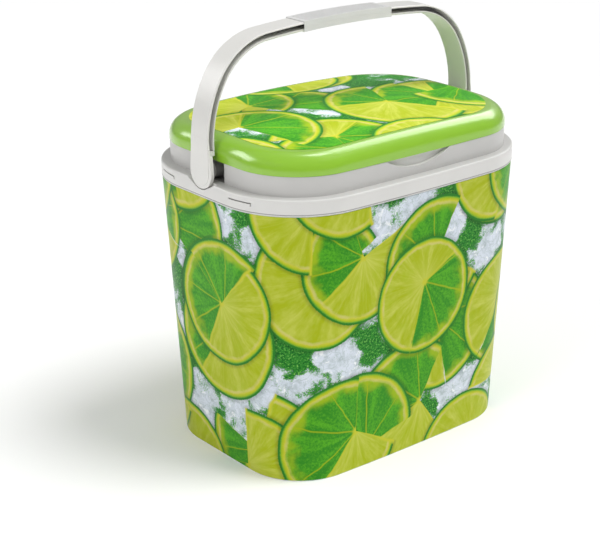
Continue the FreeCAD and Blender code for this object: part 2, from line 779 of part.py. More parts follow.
def strap_outline(sketch, wide, pivot, neck, top):
    """A strap with a round lower end about the pivot that tapers up to its neck."""
    centre = FreeCAD.Vector(0, pivot.number, 0)
    left = FreeCAD.Vector(-wide.number, pivot.number, 0)
    right = FreeCAD.Vector(wide.number, pivot.number, 0)
    left_top = FreeCAD.Vector(-neck.number, top.number, 0)
    right_top = FreeCAD.Vector(neck.number, top.number, 0)
    sketch.addGeometry(arc_between(centre, left, right), False)
    route = [right, right_top, left_top, left]
    for start, finish in zip(route, route[1:]):
        sketch.addGeometry(Part.LineSegment(start, finish), False)
    for first, second in ((0, 1), (1, 2), (2, 3), (3, 0)):
        sketch.addConstraint(Sketcher.Constraint("Coincident", first, 2, second, 1))
    sketch.addConstraint(Sketcher.Constraint("PointOnObject", 0, 3, -2))
    constrain(sketch, "height", pivot, "DistanceY", -1, 1, 0, 3)
    constrain(sketch, "radius", wide, "Radius", 0)
    constrain(sketch, "left_height", pivot, "DistanceY", -1, 1, 0, 1)
    constrain(sketch, "right_height", pivot, "DistanceY", -1, 1, 0, 2)
    pin_point(sketch, "right_top", 2, 1, neck, top)
    pin_point(sketch, "left_top", 3, 1, -neck, top)


def rim_outline(sketch, inner, outer, pivot, top):
    """The U-shaped border outside the strap's face: round under the pivot, straight above it."""
    foot = pivot - outer
    corners = [(inner, pivot), (inner, top), (outer, top), (outer, foot), (-outer, foot),
               (-outer, top), (-inner, top), (-inner, pivot)]
    points = [FreeCAD.Vector(u.number, v.number, 0) for u, v in corners]
    sketch.addGeometry(arc_between(FreeCAD.Vector(0, pivot.number, 0), points[-1], points[0]),
                       False)
    for start, finish in zip(points, points[1:]):
        sketch.addGeometry(Part.LineSegment(start, finish), False)
    for index in range(len(points)):
        sketch.addConstraint(
            Sketcher.Constraint("Coincident", index, 2, (index + 1) % len(points), 1)
        )
    sketch.addConstraint(Sketcher.Constraint("PointOnObject", 0, 3, -2))
    constrain(sketch, "height", pivot, "DistanceY", -1, 1, 0, 3)
    constrain(sketch, "radius", inner, "Radius", 0)
    constrain(sketch, "left_height", pivot, "DistanceY", -1, 1, 0, 1)
    constrain(sketch, "right_height", pivot, "DistanceY", -1, 1, 0, 2)
    for index, (u, v) in enumerate(corners[1:-1], start=2):
        pin_point(sketch, f"corner{index}", index, 1, u, v)


def break_strap_edge(body, outer):
    """Chamfer the strap's outer rim so that it runs on from the arch's broken edges."""
    doc.recompute()
    solid = body.Tip
    edges = []
    for index, edge in enumerate(solid.Shape.Edges, start=1):
        box = edge.BoundBox
        in_face = abs(box.XMin - outer.number) < 1e-4 and abs(box.XMax - outer.number) < 1e-4
        if in_face and box.ZLength > 1e-4:
            edges.append(f"Edge{index}")
    chamfer = body.newObject("PartDesign::Chamfer", "strap_edge")
    chamfer.Base = (solid, edges)
    bind(chamfer, "Size", dim("bail_edge"))


def grip_sector(sketch, outer_radius, inner_radius, half_length):
    """A stretch of a ring about the crown's centre, cut off square at both ends."""
    centre_level = BAIL_TOP - dim("bail_crown_radius")
    centre = FreeCAD.Vector(0, centre_level.number, 0)
    corners = []
    for radius in (outer_radius, inner_radius):
        rise = math.sqrt(radius.number**2 - half_length.number**2)
        corners.append([FreeCAD.Vector(sign * half_length.number, centre.y + rise, 0)
                        for sign in (1, -1)])
    (outer_right, outer_left), (inner_right, inner_left) = corners
    sketch.addGeometry(arc_between(centre, outer_right, outer_left), False)
    sketch.addGeometry(Part.LineSegment(outer_left, inner_left), False)
    sketch.addGeometry(arc_between(centre, inner_right, inner_left), False)
    sketch.addGeometry(Part.LineSegment(inner_right, outer_right), False)
    for first, first_end, second, second_end in ((0, 2, 1, 1), (1, 2, 2, 2), (2, 1, 3, 1),
                                                 (3, 2, 0, 1)):
        sketch.addConstraint(
            Sketcher.Constraint("Coincident", first, first_end, second, second_end)
        )
    for index, radius in ((0, outer_radius), (2, inner_radius)):
        constrain(sketch, f"radius{index}", radius, "Radius", index)
        sketch.addConstraint(Sketcher.Constraint("PointOnObject", index, 3, -2))
        constrain(sketch, f"centre{index}", -centre_level, "DistanceY", index, 3, -1, 1)
        constrain(sketch, f"right{index}", half_length, "DistanceX", -1, 1, index, 1)
        constrain(sketch, f"left{index}", half_length, "DistanceX", index, 2, -1, 1)


def make_grip_half(label, outside, bail_face, middle):
    """A channel that clips over one half of the bail's depth, from its face to the middle."""
    body = new_body(label)
    half_length = dim("grip_half_length")
    width = dim("bail_width")
    ring = new_sketch(body, f"{label}_ring", "XZ_Plane")
    channel = new_sketch(body, f"{label}_channel", "XZ_Plane")
    if outside.number > middle.number:
        grip_sector(ring, outside, middle, half_length)
        grip_sector(channel, bail_face, middle - 1, half_length + 1)
    else:
        grip_sector(ring, middle, outside, half_length)
        grip_sector(channel, middle + 1, bail_face, half_length + 1)
    pad(body, f"{label}_block", ring, width + dim("grip_wall") * 2, both_ways=True)
    pocket(body, f"{label}_bail_room", channel, width + dim("seat_gap") * 2, both_ways=True)
    return body


def make_grip():
    """Two half sleeves: a ribbed one on top and a plain one underneath."""
    outer = dim("bail_crown_radius")
    inner = outer - dim("bail_thickness")
    middle = outer - dim("bail_thickness") / 2
    wall = dim("grip_wall")
    gap = dim("seat_gap")
    upper = make_grip_half("grip_upper_blank", outer + wall, outer + gap, middle + gap / 2)
    lower = make_grip_half("grip_lower", inner - wall, inner - gap, middle - gap / 2)
    return cut_ribs(upper, outer + wall), lower


def cut_ribs(blank, radius):
    """Cut a row of fine cross grooves in the top of the grip."""
    width = dim("grip_rib_width")
    depth = dim("grip_rib_depth")
    centre_level = BAIL_TOP - dim("bail_crown_radius")
    across = dim("bail_width") - dim("grip_wall") * 2
    grooves = []
    for index in range(GRIP_RIB_COUNT):
        groove = doc.addObject("Part::Box", f"grip_groove_{index}")
        along = dim("grip_rib_pitch") * (index - (GRIP_RIB_COUNT - 1) / 2)
        rise = (radius * radius - along * along).root()
        bind(groove, "Length", width)
        bind(groove, "Width", across)
        bind(groove, "Height", depth * 4)
        bind(groove, "Placement.Base.x", along - width / 2)
        bind(groove, "Placement.Base.y", across * -0.5)
        bind(groove, "Placement.Base.z", centre_level + rise - depth)
        grooves.append(groove)
    rack = doc.addObject("Part::Compound", "grip_grooves")
    rack.Links = grooves
    grip = doc.addObject("Part::Cut", "grip_upper")
    grip.Base = blank
    grip.Tool = rack
    grip.Label = "grip_upper"
    return grip


# ---------------------------------------------------------------- the lid


def crown_cut(body, name, level, above):
    """Trim a body to the lid's double-curved crown, whose highest point is at the given level."""
    reach = LID[1] / 2 + dim("lid_shoulder_radius")
    limit = level + dim("lid_height") if above else level - dim("lid_height") * 2
    radius = dim("lid_width_crown")
    sketch = new_sketch(body, f"{name}_section", "YZ_Plane")
    centre_level = level - radius
    centre = FreeCAD.Vector(0, centre_level.number, 0)
    rise = math.sqrt(radius.number**2 - reach.number**2)
    right = FreeCAD.Vector(reach.number, centre.y + rise, 0)
    left = FreeCAD.Vector(-reach.number, centre.y + rise, 0)
    left_limit = FreeCAD.Vector(-reach.number, limit.number, 0)
    right_limit = FreeCAD.Vector(reach.number, limit.number, 0)
    sketch.addGeometry(arc_between(centre, right, left), False)
    route = [left, left_limit, right_limit, right]
    for start, finish in zip(route, route[1:]):
        sketch.addGeometry(Part.LineSegment(start, finish), False)
    axis_level = level - dim("lid_length_crown")
    sketch.addGeometry(Part.LineSegment(FreeCAD.Vector(-reach.number, axis_level.number, 0),
                                        FreeCAD.Vector(reach.number, axis_level.number, 0)), True)
    for index in range(4):
        sketch.addConstraint(Sketcher.Constraint("Coincident", index, 2, (index + 1) % 4, 1))
    sketch.addConstraint(Sketcher.Constraint("PointOnObject", 0, 3, -2))
    constrain(sketch, "centre", -centre_level, "DistanceY", 0, 3, -1, 1)
    constrain(sketch, "radius", radius, "Radius", 0)
    constrain(sketch, "right", reach, "DistanceX", -1, 1, 0, 1)
    constrain(sketch, "left", reach, "DistanceX", 0, 2, -1, 1)
    pin_point(sketch, "left_limit", 2, 1, -reach, limit)
    pin_point(sketch, "right_limit", 3, 1, reach, limit)
    pin_point(sketch, "axis_left", 4, 1, -reach, axis_level)
    pin_point(sketch, "axis_right", 4, 2, reach, axis_level)
    groove = body.newObject("PartDesign::Groove", name)
    groove.Profile = sketch
    groove.ReferenceAxis = (sketch, ["Axis0"])
    groove.Angle = 20
    groove.Midplane = True
    return groove


def lid_form(label, inset, seat, crown, shoulder):
    """A solid with the lid's outline, crown and round shoulder."""
    body = new_body(label)
    height = crown - seat + dim("lid_wall") * 2
    pad(body, f"{label}_block", box_outline(body, f"{label}_edge", LID, seat, inset), height)
    crown_cut(body, f"{label}_crown", crown, above=True)
    doc.recompute()
    solid = body.Tip
    edges = [f"Edge{index}" for index, edge in enumerate(solid.Shape.Edges, start=1)
             if edge.BoundBox.ZMin > seat.number + 1 and edge.BoundBox.ZLength < height.number / 2]
    fillet = body.newObject("PartDesign::Fillet", f"{label}_shoulder")
    fillet.Base = (solid, edges)
    bind(fillet, "Radius", shoulder)
    return body


def make_lid_cover():
    """The glossy green lid shell, open underneath."""
    wall = dim("lid_wall")
    seat = LID_SEAT
    crown = LID_CROWN
    radius = dim("lid_shoulder_radius")
    cover = doc.addObject("Part::Cut", "lid_cover")
    cover.Base = lid_form("lid_outside", Size.of(0.0), seat, crown, radius)
    cover.Tool = lid_form("lid_inside", wall, seat - 1, crown - wall, radius - wall)
    cover.Label = "lid_cover"
    return cover


def make_lid_print():
    """The printed film on the lid's crown."""
    body = new_body("lid_print")
    crown = LID_CROWN
    low = crown - dim("lid_height")
    pad(body, "lid_print_block", box_outline(body, "lid_print_edge", LID_PRINT, low),
        dim("lid_height") + dim("lid_border"))
    crown_cut(body, "lid_print_top", crown + dim("film_gap") + dim("lid_print_film"), above=True)
    crown_cut(body, "lid_print_underside", crown + dim("film_gap"), above=False)
    return body


def make_lid_inner_panel():
    """The white underside of the lid: a plate with a drafted plug that closes the mouth."""
    body = new_body("lid_inner_panel")
    seat = LID_SEAT
    thickness = dim("lid_panel_thickness")
    inset = dim("lid_wall") + dim("seat_gap")
    plug_inset = dim("plug_gap")
    bottom = seat - dim("plug_depth")
    draft = dim("plug_draft")
    pad(body, "lid_plate", box_outline(body, "lid_plate_edge", LID, seat, inset), thickness)
    loft(body, "plug",
         box_outline(body, "plug_bottom", MOUTH, bottom, plug_inset + draft),
         box_outline(body, "plug_top", MOUTH, seat, plug_inset))
    loft(body, "plug_hollow",
         box_outline(body, "plug_floor", MOUTH, bottom + thickness,
                     plug_inset + draft + thickness),
         box_outline(body, "plug_rim", MOUTH, seat + thickness, plug_inset + thickness), cut=True)
    return body


def make_lid_insulation():
    """The foam that fills the lid and its plug."""
    gap = dim("seat_gap")
    wall = dim("lid_wall")
    seat = LID_SEAT
    thickness = dim("lid_panel_thickness")
    panel_top = seat + thickness + gap
    plug_floor = seat - dim("plug_depth") + thickness + gap
    inset = dim("plug_gap") + thickness + gap
    plug = new_body("lid_foam_plug")
    loft(plug, "foam_plug",
         box_outline(plug, "foam_plug_bottom", MOUTH, plug_floor, inset + dim("plug_draft")),
         box_outline(plug, "foam_plug_top", MOUTH, panel_top + 1, inset + gap))
    foam = doc.addObject("Part::Fuse", "lid_insulation")
    foam.Base = lid_form("lid_foam_top", wall + gap * 2, panel_top,
                         LID_CROWN - wall - gap * 2,
                         dim("lid_shoulder_radius") - wall - gap * 2)
    foam.Tool = plug
    foam.Label = "lid_insulation"
    return foam


# ---------------------------------------------------------------- checks and files


def check_document():
    failed = [item.Name for item in doc.Objects
              if "Invalid" in item.State or "Error" in item.State]
    if failed:
        raise RuntimeError(f"objects that failed to build: {failed}")


def check_piece(piece):
    shape = piece.Shape
    if shape.isNull() or not shape.isValid() or shape.Volume <= 0:
        raise RuntimeError(f"{piece.Label} has no sound solid")


def main():
    grip_upper, grip_lower = make_grip()
    pieces = [
        make_outer_shell(), make_body_wrap(), make_body_insulation(), make_inner_liner(),
        make_rim_collar(), make_handle_bail(), grip_upper, grip_lower, make_lid_cover(),
        make_lid_print(), make_lid_insulation(), make_lid_inner_panel(),
    ]
    doc.recompute()
    check_document()
    os.makedirs("parts", exist_ok=True)
    for piece in pieces:
        check_piece(piece)
    for piece in pieces:
        piece.Shape.exportStep(f"parts/{piece.Label}.step")
        solids = len(piece.Shape.Solids)
        print(f"{piece.Label}: {solids} solid(s), {piece.Shape.Volume / 1000:.1f} cm3")


main()
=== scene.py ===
import math

import bpy
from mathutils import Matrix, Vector


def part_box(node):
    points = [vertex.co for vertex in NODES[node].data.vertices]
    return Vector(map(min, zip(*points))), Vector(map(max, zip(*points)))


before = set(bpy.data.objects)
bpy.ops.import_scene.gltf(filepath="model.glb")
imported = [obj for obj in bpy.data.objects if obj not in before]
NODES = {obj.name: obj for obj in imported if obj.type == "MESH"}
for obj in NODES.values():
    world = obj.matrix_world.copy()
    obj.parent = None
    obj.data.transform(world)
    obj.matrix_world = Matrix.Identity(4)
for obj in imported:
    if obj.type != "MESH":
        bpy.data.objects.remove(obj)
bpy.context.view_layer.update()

# A 24 litre picnic cool box: printed tapered body, grey collar and bail, glossy green lid.
# Metres, in the frame of the construction model: +X long side, +Y back, +Z up.

# ------------------------------------------------------------------ camera and light

VIEW_AZIMUTH = math.radians(40.36)
VIEW_ELEVATION = math.radians(20.9)
VIEW_DISTANCE = 1.8393
VIEW_TARGET = Vector((0.0, 0.0, 0.190))
LENS_MM = 92.23
SENSOR_MM = 36.0
FRAME_SHIFT = (-0.0658, -0.0163)

FLOOR_SIZE = 12.0
FLOOR_WHITE = (0.97, 0.97, 0.97, 1.0)
WHITE = (1.0, 1.0, 1.0, 1.0)
SKY_AT_HORIZON = 0.24
SKY_OVERHEAD = 0.62

KEY_DIRECTION = (0.44, -0.46, 1.0)
KEY_POWER = 2.1
KEY_SPREAD_DEGREES = 32.0

# Soft boxes: name, place, aim, size, power in watts, lights matt surfaces, shows in glossy ones.
SOFTBOXES = (
    ("fill", (-1.9, -0.35, 1.45), (0, 0, 0.3), (0.9, 0.9), 13, True, False),
    ("corner_glint", (-1.12, 0.98, 1.06), (-0.18, -0.05, 0.38), (1.0, 0.6), 10, False, True),
    ("edge_glint", (0.4, 0.06, 1.75), (-0.12, -0.12, 0.38), (0.4, 0.4), 3.6, False, True),
    ("side_glint", (1.2, 0.15, 1.45), (0.0, -0.12, 0.38), (1.1, 1.1), 14, False, True),
)


def make_camera():
    """A long lens that looks down at the front and the left end."""
    data = bpy.data.cameras.new("view")
    data.sensor_fit = "HORIZONTAL"
    data.sensor_width = SENSOR_MM
    data.lens = LENS_MM
    data.shift_x, data.shift_y = FRAME_SHIFT
    data.clip_end = 20.0
    camera = bpy.data.objects.new("view", data)
    bpy.context.scene.collection.objects.link(camera)
    level = math.cos(VIEW_ELEVATION)
    away = Vector((-math.sin(VIEW_AZIMUTH) * level, -math.cos(VIEW_AZIMUTH) * level,
                   math.sin(VIEW_ELEVATION)))
    camera.location = VIEW_TARGET + away * VIEW_DISTANCE
    camera.rotation_euler = (-away).to_track_quat("-Z", "Y").to_euler()
    bpy.context.scene.camera = camera


def make_softbox(name, place, aim, size, power, lights_matt, shows_in_gloss):
    """A rectangular studio light."""
    data = bpy.data.lights.new(name, "AREA")
    data.shape = "RECTANGLE"
    data.size, data.size_y = size
    data.energy = power
    light = bpy.data.objects.new(name, data)
    bpy.context.scene.collection.objects.link(light)
    light.location = place
    light.rotation_euler = (Vector(aim) - Vector(place)).to_track_quat("-Z", "Y").to_euler()
    light.visible_diffuse = lights_matt
    light.visible_glossy = shows_in_gloss


def make_key():
    """The main light: high at the front right, far away and soft, unseen in glossy surfaces."""
    data = bpy.data.lights.new("key", "SUN")
    data.energy = KEY_POWER
    data.angle = math.radians(KEY_SPREAD_DEGREES)
    light = bpy.data.objects.new("key", data)
    bpy.context.scene.collection.objects.link(light)
    light.rotation_euler = Vector(KEY_DIRECTION).to_track_quat("Z", "Y").to_euler()
    light.visible_glossy = False


def make_studio():
    """A plain pale floor, a bright even surround and soft boxes."""
    world = bpy.data.worlds.new("studio")
    world.use_nodes = True
    sky = world.node_tree
    direction = sky.nodes.new("ShaderNodeTexCoord").outputs["Generated"]
    split = sky.nodes.new("ShaderNodeSeparateXYZ")
    rise = sky.nodes.new("ShaderNodeMapRange")
    sky.links.new(direction, split.inputs[0])
    sky.links.new(split.outputs[2], rise.inputs["Value"])
    for name, number in (("From Min", 0.0), ("From Max", 1.0),
                         ("To Min", SKY_AT_HORIZON), ("To Max", SKY_OVERHEAD)):
        rise.inputs[name].default_value = number
    sky.nodes["Background"].inputs["Color"].default_value = WHITE
    sky.links.new(rise.outputs[0], sky.nodes["Background"].inputs["Strength"])
    scene = bpy.context.scene
    scene.world = world
    scene.view_settings.view_transform = "Standard"
    bpy.ops.mesh.primitive_plane_add(size=FLOOR_SIZE, location=(0, 0, 0))
    floor = bpy.context.object
    floor.name = "floor"
    material = bpy.data.materials.new("pale_floor")
    material.use_nodes = True
    shader = material.node_tree.nodes["Principled BSDF"]
    shader.inputs["Base Color"].default_value = FLOOR_WHITE
    shader.inputs["Roughness"].default_value = 0.9
    floor.data.materials.append(material)
    make_key()
    for softbox in SOFTBOXES:
        make_softbox(*softbox)


# ------------------------------------------------------------------ shader building blocks


def srgb(red, green, blue):
    """A linear colour from the usual 0 to 255 numbers."""
    def linear(value):
        value /= 255.0
        return value / 12.92 if value <= 0.04045 else ((value + 0.055) / 1.055) ** 2.4
    return (linear(red), linear(green), linear(blue), 1.0)


MM_PER_METRE = 1000.0


class Graph:
    """Short calls that add nodes to one node tree and wire them."""

    def __init__(self, tree):
        self.tree = tree

    def feed(self, socket, value):
        if isinstance(value, bpy.types.NodeSocket):
            self.tree.links.new(value, socket)
        elif value is not None:
            socket.default_value = value

    def math(self, operation, first, second=None, third=None):
        node = self.tree.nodes.new("ShaderNodeMath")
        node.operation = operation
        for socket, value in zip(node.inputs, (first, second, third)):
            self.feed(socket, value)
        return node.outputs[0]

    def add(self, a, b):
        return self.math("ADD", a, b)

    def subtract(self, a, b):
        return self.math("SUBTRACT", a, b)

    def multiply(self, a, b):
        return self.math("MULTIPLY", a, b)

    def divide(self, a, b):
        return self.math("DIVIDE", a, b)

    def ramp(self, value, low, high):
        """0 below low and 1 above high, smooth between."""
        node = self.tree.nodes.new("ShaderNodeMapRange")
        node.interpolation_type = "SMOOTHSTEP"
        for name, number in (("Value", value), ("From Min", low), ("From Max", high)):
            self.feed(node.inputs[name], number)
        return node.outputs[0]

    def fall(self, value, low, high):
        """1 below low and 0 above high, smooth between."""
        return self.subtract(1.0, self.ramp(value, low, high))

    def sway(self, value, amount):
        """A 0 to 1 value as a swing about zero, amount wide."""
        return self.multiply(self.subtract(value, 0.5), amount)

    def absolute(self, value):
        return self.math("ABSOLUTE", value)

    def blend(self, value, low, high, to_low, to_high):
        """A straight line from one range to another, held at its ends."""
        node = self.tree.nodes.new("ShaderNodeMapRange")
        for name, number in (("Value", value), ("From Min", low), ("From Max", high),
                             ("To Min", to_low), ("To Max", to_high)):
            self.feed(node.inputs[name], number)
        return node.outputs[0]

    def vector(self, operation, first, second=None, scale=None):
        node = self.tree.nodes.new("ShaderNodeVectorMath")
        node.operation = operation
        self.feed(node.inputs[0], first)
        if second is not None:
            self.feed(node.inputs[1], second)
        if scale is not None:
            self.feed(node.inputs["Scale"], scale)
        return node.outputs["Value" if operation == "LENGTH" else "Vector"]

    def split(self, vector):
        node = self.tree.nodes.new("ShaderNodeSeparateXYZ")
        self.feed(node.inputs[0], vector)
        return node.outputs[0], node.outputs[1], node.outputs[2]

    def join(self, x, y, z=0.0):
        node = self.tree.nodes.new("ShaderNodeCombineXYZ")
        for socket, value in zip(node.inputs, (x, y, z)):
            self.feed(socket, value)
        return node.outputs[0]

    def mix(self, factor, under, over):
        node = self.tree.nodes.new("ShaderNodeMix")
        node.data_type = "RGBA"
        self.feed(node.inputs["Factor"], factor)
        self.feed(node.inputs[6], under)
        self.feed(node.inputs[7], over)
        return node.outputs[2]

    def noise(self, vector, scale, detail=2.0, roughness=0.5):
        node = self.tree.nodes.new("ShaderNodeTexNoise")
        for name, value in (("Vector", vector), ("Scale", scale), ("Detail", detail),
                            ("Roughness", roughness)):
            self.feed(node.inputs[name], value)
        return node.outputs[0]

    def group(self, tree, **values):
        node = self.tree.nodes.new("ShaderNodeGroup")
        node.node_tree = tree
        for name, value in values.items():
            self.feed(node.inputs[name.replace("_", " ")], value)
        return node.outputs

    def object_millimetres(self):
        node = self.tree.nodes.new("ShaderNodeTexCoord")
        return self.vector("SCALE", node.outputs["Object"], scale=MM_PER_METRE)


SOCKETS = {"value": "NodeSocketFloat", "colour": "NodeSocketColor", "vector": "NodeSocketVector"}


def new_group(name, inputs, outputs):
    """A shader node group with named sockets; returns the tree, its graph, inputs and outputs."""
    tree = bpy.data.node_groups.new(name, "ShaderNodeTree")
    for direction, sockets in (("INPUT", inputs), ("OUTPUT", outputs)):
        for label, kind in sockets.items():
            tree.interface.new_socket(name=label, in_out=direction, socket_type=SOCKETS[kind])
    inside = tree.nodes.new("NodeGroupInput").outputs
    outside = tree.nodes.new("NodeGroupOutput").inputs
    return tree, Graph(tree), inside, outside


def new_material(name, **values):
    """A material with constant values set on its shader's own sockets."""
    material = bpy.data.materials.new(name)
    material.use_nodes = True
    shader = material.node_tree.nodes["Principled BSDF"]
    for label, value in values.items():
        shader.inputs[label.replace("_", " ")].default_value = value
    return material, Graph(material.node_tree), shader


def dress(node, material):
    """Give a piece one material all over."""
    materials = NODES[node].data.materials
    materials.clear()
    materials.append(material)


# ------------------------------------------------------------------ the citrus print

RIND = srgb(40, 122, 34)
RIND_LIGHT = srgb(112, 172, 44)
PITH = srgb(164, 186, 20)
PITH_GLOW = srgb(196, 196, 50)
CREAM = srgb(206, 198, 118)
FLESH_YELLOW = srgb(166, 180, 14)
FLESH_PALE = srgb(206, 210, 98)
FLESH_GREEN = srgb(88, 172, 30)
FLESH_DEEP = srgb(46, 134, 26)
ICE = srgb(220, 227, 238)
ICE_SHADE = srgb(160, 176, 178)
ICE_GLINT = srgb(244, 247, 250)
LEAF = srgb(44, 138, 40)
LEAF_DARK = srgb(14, 84, 28)
LEAF_LIGHT = srgb(136, 198, 92)
TURN = 2 * math.pi

# A slice, measured from 0 at its middle to 1 at its edge.  Each pair is where a change starts and
# where it is complete.
SEGMENTS = 9.0
MIDDLE_LEAN = 0.5
SLICE_SIZES = (0.86, 1.04)
CELL_RANDOMNESS = 0.22
EDGE_WAVE = 0.07
EDGE_GRAIN = 0.022
FLESH_TO_PITH = (0.875, 0.905)
PITH_DEEPENS = (0.9, 0.95)
CREAM_STARTS = (0.845, 0.875)
CREAM_ENDS = (0.885, 0.915)
RIND_STARTS = (0.935, 0.955)
RIND_DEEPENS = (0.952, 0.972)
SLICE_ENDS = (0.99, 1.004)
SHADE_STARTS = (0.96, 1.0)
SHADE_ENDS = (1.0, 1.07)
RIM_SHADE = 0.3

# Shares of a full turn.
GREEN_SHARES = (0.2, 0.4)
WHOLE_SLICES = 0.16
WEDGE_SHARES = (0.2, 0.35)
GREEN_EDGE = (-0.006, 0.006)
CUT_EDGE = (-0.004, 0.004)
CUT_BORDER = (-0.014, -0.004)

# How often the texture repeats round a slice, and how fast it changes towards its edge.
FIBRES_AROUND, FIBRES_OUTWARD = 30.0, 1.2
JUICE_AROUND, JUICE_OUTWARD = 84.0, 9.0


def make_slice_layer():
    """One scatter of citrus slices, each with rind, pith, segments and perhaps a cut wedge.

    Position is the place on the printed film in millimetres.  Each cell of the scatter holds one
    slice with its own size, turn, tone and cut.
    """
    tree, g, given, result = new_group(
        "slice_layer",
        {"Position": "vector", "Cell": "value", "Radius": "value", "Turn": "value",
         "Shift": "vector", "Under": "colour"},
        {"Colour": "colour"})
    turned = tree.nodes.new("ShaderNodeVectorRotate")
    turned.rotation_type = "Z_AXIS"
    g.feed(turned.inputs["Vector"], given["Position"])
    g.feed(turned.inputs["Angle"], given["Turn"])
    moved = g.vector("ADD", turned.outputs[0], given["Shift"])
    in_cells = g.vector("SCALE", moved, scale=g.divide(1.0, given["Cell"]))
    cells = tree.nodes.new("ShaderNodeTexVoronoi")
    cells.voronoi_dimensions = "2D"
    g.feed(cells.inputs["Vector"], in_cells)
    cells.inputs["Scale"].default_value = 1.0
    cells.inputs["Randomness"].default_value = CELL_RANDOMNESS
    chance_a, chance_b, chance_c = g.split(cells.outputs["Color"])
    local = g.vector("SCALE", g.vector("SUBTRACT", in_cells, cells.outputs["Position"]),
                     scale=given["Cell"])

    radius = g.multiply(given["Radius"], g.blend(chance_a, 0.0, 1.0, *SLICE_SIZES))
    distance = g.divide(g.vector("LENGTH", local), radius)
    distance = g.add(distance, g.sway(g.noise(moved, 0.016), EDGE_WAVE))
    distance = g.add(distance, g.sway(g.noise(moved, 0.5), EDGE_GRAIN))

    # The segments meet a little away from the slice's middle.
    lean = g.join(g.sway(chance_b, MIDDLE_LEAN), g.sway(chance_c, MIDDLE_LEAN))
    in_slice = g.vector("SCALE", local, scale=g.divide(1.0, radius))
    x, y, _ = g.split(g.vector("SUBTRACT", in_slice, lean))
    reach = g.vector("LENGTH", g.join(x, y))
    reach_mm = g.multiply(reach, radius)
    bend = g.sway(g.noise(moved, 0.05, 1.0), 0.012)
    angle = g.add(g.add(g.divide(g.math("ARCTAN2", y, x), TURN), chance_b), bend)
    around = g.math("FRACT", g.add(angle, 2.0))
    uneven = g.multiply(g.math("SINE", g.multiply(around, TURN * 2)), 0.16)
    within = g.math("FRACT", g.add(g.multiply(around, SEGMENTS), uneven))
    to_membrane = g.subtract(0.5, g.absolute(g.subtract(within, 0.5)))
    arc = g.multiply(g.multiply(to_membrane, TURN / SEGMENTS), reach_mm)
    membrane = g.fall(arc, 0.2, 1.25)

    # Fibres that run out from there, small juice cells and a broader mottle.
    fibre = g.noise(g.join(g.multiply(around, FIBRES_AROUND), g.multiply(reach, FIBRES_OUTWARD),
                           g.multiply(chance_c, 50.0)), 1.0, 3.0, 0.6)
    juice = g.noise(g.join(g.multiply(around, JUICE_AROUND), g.multiply(reach, JUICE_OUTWARD),
                           chance_a), 1.0, 2.0, 0.6)
    mottle = g.noise(moved, 0.34, 3.0, 0.7)
    cloud = g.noise(moved, 0.045)

    # Yellow side: warm flesh with pale rays, paler where the segments meet.
    rays = g.ramp(g.add(g.multiply(fibre, 0.75), g.multiply(juice, 0.25)), 0.36, 0.78)
    yellow = g.mix(g.multiply(rays, 0.85), FLESH_YELLOW, FLESH_PALE)
    yellow = g.mix(g.multiply(g.fall(reach, 0.0, 0.55), 0.4), yellow, FLESH_PALE)
    yellow = g.mix(g.multiply(g.ramp(cloud, 0.5, 0.75), 0.35), yellow, PITH)

    # Green side: deep mottled flesh that fades to yellow before it reaches the pith.
    tone = g.add(g.multiply(mottle, 0.55), g.multiply(fibre, 0.5))
    green = g.mix(g.ramp(tone, 0.42, 0.66), FLESH_DEEP, FLESH_GREEN)
    rim_fade = g.add(distance, g.sway(cloud, 0.5))
    green = g.mix(g.multiply(g.ramp(rim_fade, 0.7, 0.9), 0.85), green, PITH)
    green_share = g.blend(chance_c, 0.0, 1.0, *GREEN_SHARES)
    soft = g.sway(fibre, 0.03)
    green_side = g.fall(g.subtract(g.add(around, soft), green_share), *GREEN_EDGE)
    flesh = g.mix(green_side, yellow, green)
    line = g.mix(green_side, FLESH_PALE, FLESH_YELLOW)
    line_strength = g.blend(green_side, 0.0, 1.0, 0.14, 0.75)
    flesh = g.mix(g.multiply(membrane, line_strength), flesh, line)
    to_border = g.multiply(g.absolute(g.subtract(around, green_share)), reach_mm)
    flesh = g.mix(g.multiply(g.fall(to_border, 0.1, 0.35), 0.8), flesh, PITH_GLOW)

    # Pith, a broken cream line inside it, and the rind.
    ragged = g.add(distance, g.sway(fibre, 0.07))
    pith = g.mix(g.ramp(ragged, *PITH_DEEPENS), PITH_GLOW, PITH)
    colour = g.mix(g.ramp(ragged, *FLESH_TO_PITH), flesh, pith)
    cream = g.multiply(g.ramp(ragged, *CREAM_STARTS), g.fall(ragged, *CREAM_ENDS))
    colour = g.mix(g.multiply(cream, g.blend(cloud, 0.35, 0.6, 0.15, 0.8)), colour, CREAM)
    colour = g.mix(g.fall(reach, 0.02, 0.09), colour, PITH_GLOW)
    colour = g.mix(g.ramp(distance, *RIND_STARTS), colour, RIND_LIGHT)
    colour = g.mix(g.ramp(distance, *RIND_DEEPENS), colour, RIND)

    # Most slices have a wedge cut away, with a thin pale border; what is under them shows there.
    wedge = g.multiply(g.math("GREATER_THAN", chance_a, WHOLE_SLICES),
                       g.blend(chance_a, WHOLE_SLICES, 1.0, *WEDGE_SHARES))
    cut_edge = g.subtract(g.add(around, g.multiply(soft, 0.8)), g.subtract(1.0, wedge))
    keep = g.fall(cut_edge, *CUT_EDGE)
    cut_border = g.multiply(g.ramp(cut_edge, *CUT_BORDER), g.math("GREATER_THAN", wedge, 0.0))
    colour = g.mix(cut_border, colour, PITH_GLOW)
    inside = g.fall(distance, *SLICE_ENDS)

